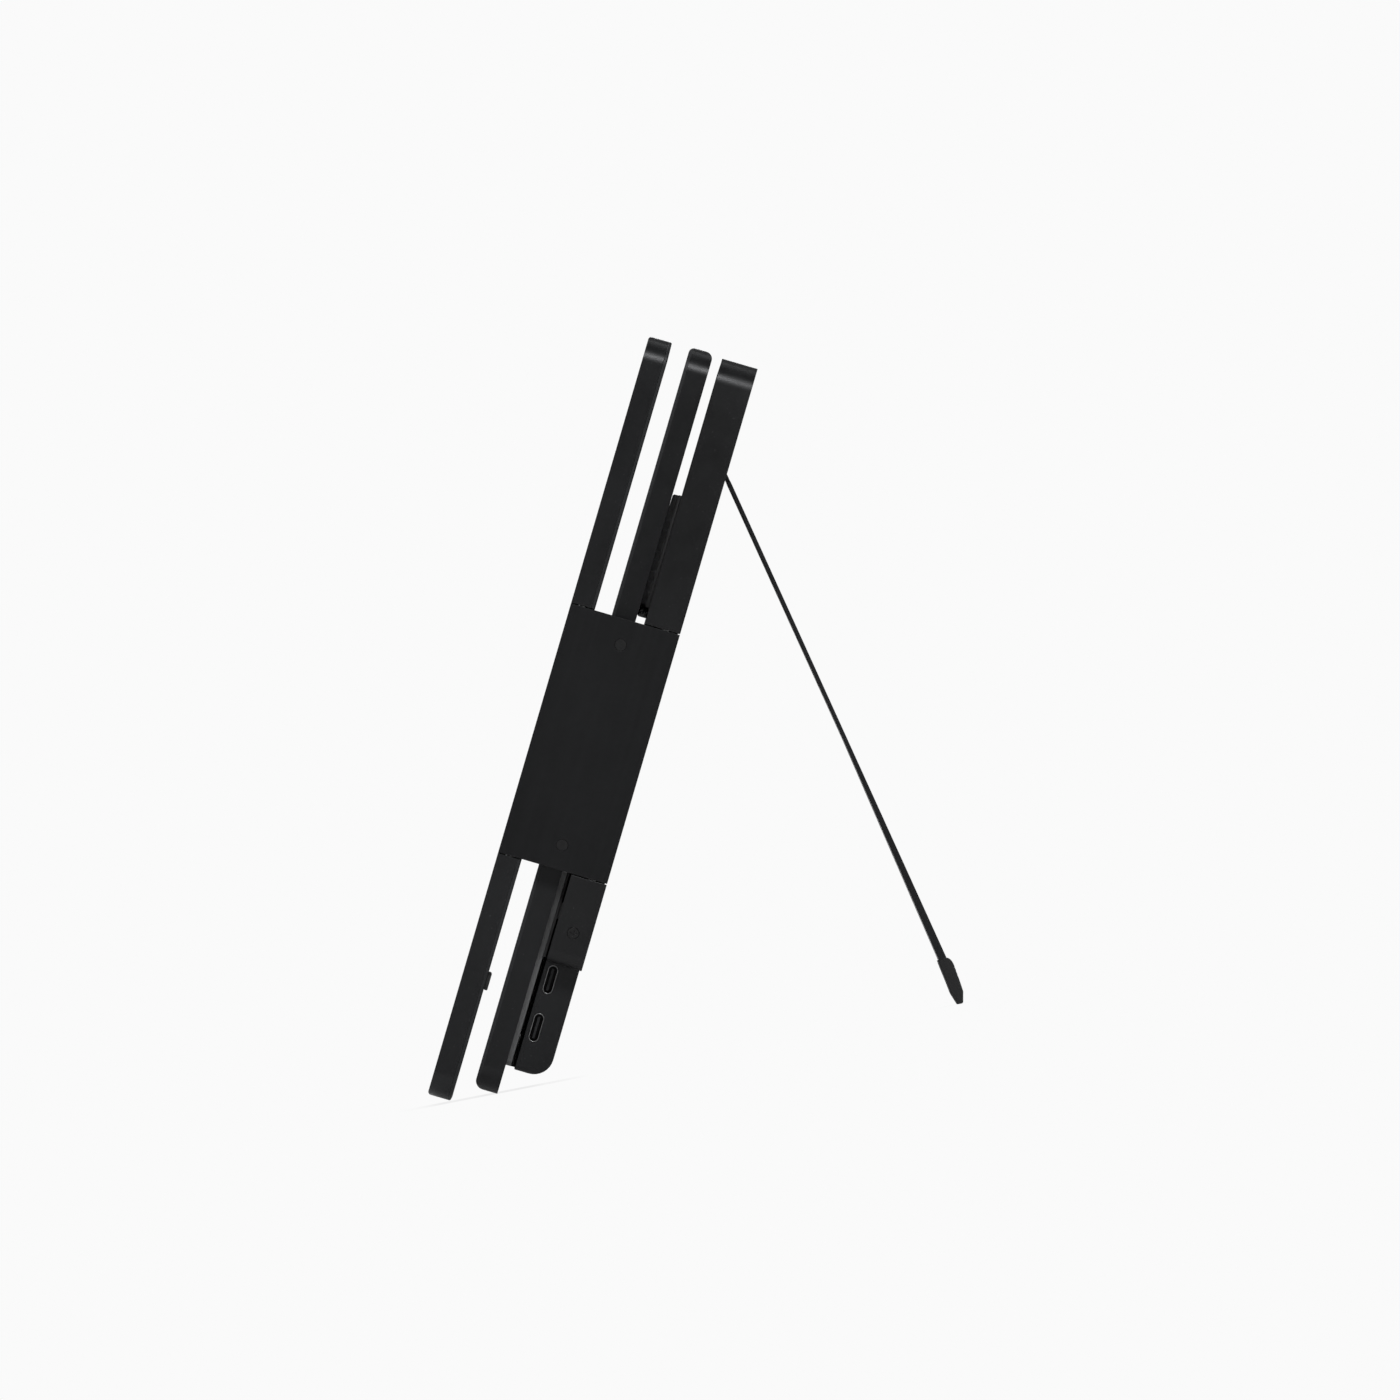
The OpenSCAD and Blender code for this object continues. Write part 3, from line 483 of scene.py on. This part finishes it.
def boot_outline(toe_a, tilt, groove_depth):
    """The boot's outline in the leg's frame: across the leg and up it, from the hinge."""
    sole_half = math.degrees(math.acos((TOE_R - SOLE_CUT) / TOE_R))
    sole_turn = 270 - math.degrees(tilt)
    toe = (TOE_B, -toe_a)
    inner = [(-2.05, 14), (-2.16, 13), (-2.25, 11.5), (-2.4, 7), (-2.6, 3.4), (-2.55, 2.8)]
    outline = [(b * MM, h * MM - toe_a) for b, h in inner]
    outline += arc(toe, TOE_R, 205, sole_turn - sole_half, 6)
    outline += arc(toe, TOE_R, sole_turn + sole_half, 325, 8)
    return outline + [(b * MM, h * MM - toe_a) for b, h in grip_face(groove_depth)]


def boot_stations(half_w, plain, grooved):
    """Where along the boot each outline stands, and how far it is drawn in."""
    round_end, steps = 0.5 * MM, 4
    plain_end, run_in = 2 * MM, 0.5 * MM
    right = [(half_w - plain_end - run_in, 0, grooved), (half_w - plain_end, 0, plain)]
    for i in reversed(range(steps + 1)):
        turn = math.pi / 2 * i / steps
        x = half_w - round_end * (1 - math.cos(turn))
        right.append((x, round_end * (1 - math.sin(turn)), plain))
    return right


def kickstand_foot():
    """Rubber boot over the end of the leg, with a flat sole and grip grooves between its round ends."""
    hinge = Vector(JOINTS["kickstand_hinge"]["pos_m"])
    tilt = LEG_OPEN - LEAN
    to_row = Matrix.Translation(hinge) @ Matrix.Rotation(tilt, 4, "X")
    boot = [to_row.inverted() @ v.co for v in NODES["kickstand_foot"].data.vertices]
    end_wall = 0.2 * MM
    half_w = max(p.x for p in boot) + end_wall
    top = max(p.z for p in boot)
    toe_a = (hinge.z + TOE_B * math.sin(tilt) - TOE_R + SOLE_CUT) / math.cos(tilt)
    groove_depth = 0.28
    plain = boot_outline(toe_a, tilt, 0)
    grooved = boot_outline(toe_a, tilt, groove_depth)
    right = boot_stations(half_w, plain, grooved)
    left = [(-x, inset, outline) for x, inset, outline in reversed(right)]
    rings = []
    for x, inset, outline in left + right:
        rings.append([(x, b, min(z, top)) for b, z in inset_ring(outline, inset)])
    bm = bmesh.new()
    loft(bm, rings)
    obj = add_mesh("foot_boot", bm, "kickstand", "rubber", to_row)
    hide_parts("kickstand_foot")


def pad_profile(low, high, corner):
    """The pad's section from the bottom up: depth below its crown, height, and whether on a rib."""
    back = high.y - low.y
    rib_h, rib_pitch, per_rib = 0.35 * MM, 3.2 * MM, 8
    count = int((high.z - low.z - 2.4 * MM) / rib_pitch)
    start = (low.z + high.z - count * rib_pitch) / 2
    profile = [(back, low.z, 0), (corner, low.z, 0), (0, low.z + corner, 0)]
    for i in range(count):
        for k in range(per_rib + 1):
            t = k / per_rib
            depth = rib_h * (1 - math.sin(math.pi * t) ** 0.7)
            profile.append((depth, start + (i + t) * rib_pitch, 1))
    return profile + [(0, high.z - corner, 0), (corner, high.z, 0), (back, high.z, 0)]


def pad_stations(low, high, corner):
    """Along the pad: place, how far the face is set back, and whether its ribs stand there."""
    near_set_back = 1.48 * MM
    step = high.x - 16 * MM
    land = 22 * MM
    return [
        (low.x, corner, 0),
        (low.x + corner, 0, 0),
        (low.x + land, 0, 0),
        (low.x + land + 1 * MM, 0, 1),
        (high.x - land - 3 * MM, 0, 1),
        (high.x - land - 2 * MM, 0, 0),
        (step + 1 * MM, 0, 0),
        (step + 5 * MM, near_set_back, 0),
        (high.x - corner, near_set_back, 0),
        (high.x, near_set_back + corner, 0),
    ]


def rest_pad():
    """Soft pad for the laptop's lid: rounded ribs, plain lands at both ends and a thin lead-in."""
    low, high = stack_box("lid_rest_pad")
    corner = 0.4 * MM
    profile = pad_profile(low, high, corner)
    rings = []
    for x, sink, ribbed in pad_stations(low, high, corner):
        end = corner if x in (low.x, high.x) else 0
        ring = []
        for depth, z, on_rib in profile:
            y = low.y + sink + (depth * ribbed if on_rib else depth)
            ring.append((x, min(y, high.y), min(max(z, low.z + end), high.z - end)))
        rings.append(ring)
    bm = bmesh.new()
    loft(bm, rings)
    obj = add_mesh("ribbed_rest_pad", bm, "frame", "rest_pad", TO_ROW)
    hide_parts("lid_rest_pad")


def felt_strip(name, low, high):
    """A strip of felt stuck to the carriage, its edges rounded over."""
    place = Matrix.Translation((low + high) / 2)
    size = Matrix.Diagonal(high - low).to_4x4()
    bm = bmesh.new()
    bmesh.ops.create_cube(bm, size=1, matrix=place @ size)
    bmesh.ops.bevel(bm, geom=bm.edges[:], offset=0.16 * MM, segments=3, affect="EDGES", profile=0.5)
    add_mesh(name, bm, "inner_screen", "rubber", TO_ROW, FELT)


def carriage_felts():
    """Felt that keeps dust out at the carriage's fold, and a glide at its near end."""
    low, high = stack_box("carriage_plate")
    post_low = stack_box("lower_post")[0].z
    sheet = 1.5 * MM
    sheet_back = low.y + sheet
    side = 0.1 * MM
    end = 1 * MM
    felt_strip(
        "dust_felt",
        Vector((low.x + side, high.y - 0.3 * MM, low.z + end)),
        Vector((low.x + sheet - side, high.y + 0.35 * MM, high.z - end)),
    )
    felt_strip(
        "glide_felt",
        Vector((high.x - 2.9 * MM, sheet_back - 0.05 * MM, post_low + end)),
        Vector((high.x - 0.2 * MM, sheet_back + 0.85 * MM, high.z - 8 * MM)),
    )


# ---- Stage ----

def camera_only(tree, seen, lit):
    """Mixes two shaders: seen by camera rays, lit for all others."""
    path = tree.nodes.new("ShaderNodeLightPath")
    mix = tree.nodes.new("ShaderNodeMixShader")
    tree.links.new(path.outputs["Is Camera Ray"], mix.inputs[0])
    tree.links.new(lit.outputs[0], mix.inputs[1])
    tree.links.new(seen.outputs[0], mix.inputs[2])
    return mix


# The paper's tone where the camera sees it, and the light that it and the world give the object
PAPER = grey(0.956)
WORLD_LIGHT = grey(0.15)
FLOOR_DIFFUSE = grey(0.8)
FLOOR_BOUNCE = grey(0.25)


def add_world():
    world = bpy.data.worlds.new("studio")
    bpy.context.scene.world = world
    world.use_nodes = True
    tree = world.node_tree
    seen = tree.nodes["Background"]
    seen.inputs["Color"].default_value = PAPER
    lit = tree.nodes.new("ShaderNodeBackground")
    lit.inputs["Color"].default_value = WORLD_LIGHT
    mix = camera_only(tree, seen, lit)
    tree.links.new(mix.outputs[0], tree.nodes["World Output"].inputs["Surface"])


def contact_shade(tree):
    """Paper that darkens a little close to what stands on it."""
    occlusion = tree.nodes.new("ShaderNodeAmbientOcclusion")
    occlusion.samples = 12
    occlusion.inputs["Distance"].default_value = 12 * MM
    occlusion.inputs["Color"].default_value = PAPER
    shade = tree.nodes.new("ShaderNodeMix")
    shade.data_type = "RGBA"
    shade.inputs["Factor"].default_value = 0.15
    shade.inputs[6].default_value = PAPER
    tree.links.new(occlusion.outputs["Color"], shade.inputs[7])
    return shade.outputs[2]


def floor_material():
    material = bpy.data.materials.new("floor_paper")
    material.use_nodes = True
    tree = material.node_tree
    tree.nodes.remove(tree.nodes["Principled BSDF"])
    seen = tree.nodes.new("ShaderNodeEmission")
    tree.links.new(contact_shade(tree), seen.inputs["Color"])
    diffuse = tree.nodes.new("ShaderNodeBsdfDiffuse")
    diffuse.inputs["Color"].default_value = FLOOR_DIFFUSE
    bounce = tree.nodes.new("ShaderNodeEmission")
    bounce.inputs["Color"].default_value = FLOOR_BOUNCE
    lit = tree.nodes.new("ShaderNodeAddShader")
    tree.links.new(diffuse.outputs[0], lit.inputs[0])
    tree.links.new(bounce.outputs[0], lit.inputs[1])
    mix = camera_only(tree, seen, lit)
    tree.links.new(mix.outputs[0], tree.nodes["Material Output"].inputs["Surface"])
    return material


def add_floor():
    half = 9
    bm = bmesh.new()
    bmesh.ops.create_grid(bm, x_segments=1, y_segments=1, size=half)
    mesh = bpy.data.meshes.new("floor")
    bm.to_mesh(mesh)
    bm.free()
    mesh.materials.append(floor_material())
    floor = bpy.data.objects.new("floor", mesh)
    bpy.context.scene.collection.objects.link(floor)


def add_light(name, place, size, power):
    """A cool soft light at place, turned to the object's middle."""
    data = bpy.data.lights.new(name, "AREA")
    data.shape = "RECTANGLE"
    data.size, data.size_y = size
    data.energy = power
    data.color = (0.965, 0.975, 1.0)
    light = bpy.data.objects.new(name, data)
    light.visible_camera = False
    target = Vector((0, 0, 0.1))
    light.location = Vector(place)
    light.rotation_mode = "QUATERNION"
    light.rotation_quaternion = (light.location - target).to_track_quat("Z", "Y")
    bpy.context.scene.collection.objects.link(light)


def add_lights():
    add_light("key_strip", (0.97, 0.23, 0.59), (0.42, 0.062), 5.1)
    add_light("top_box", (-0.3, 0.1, 2.2), (1.6, 1.6), 20)
    add_light("front_box", (-0.6, -2.4, 1.0), (1.6, 1.0), 16)
    add_light("rear_box", (-0.4, 2.4, 1.1), (1.6, 1.0), 16)
    add_light("far_box", (-2.6, -0.3, 0.9), (1.2, 0.8), 12)


bpy.context.scene.view_settings.view_transform = "Standard"
add_camera()
add_world()
add_floor()
add_lights()
finish_cad_nodes()
kickstand_foot()
rest_pad()
carriage_felts()
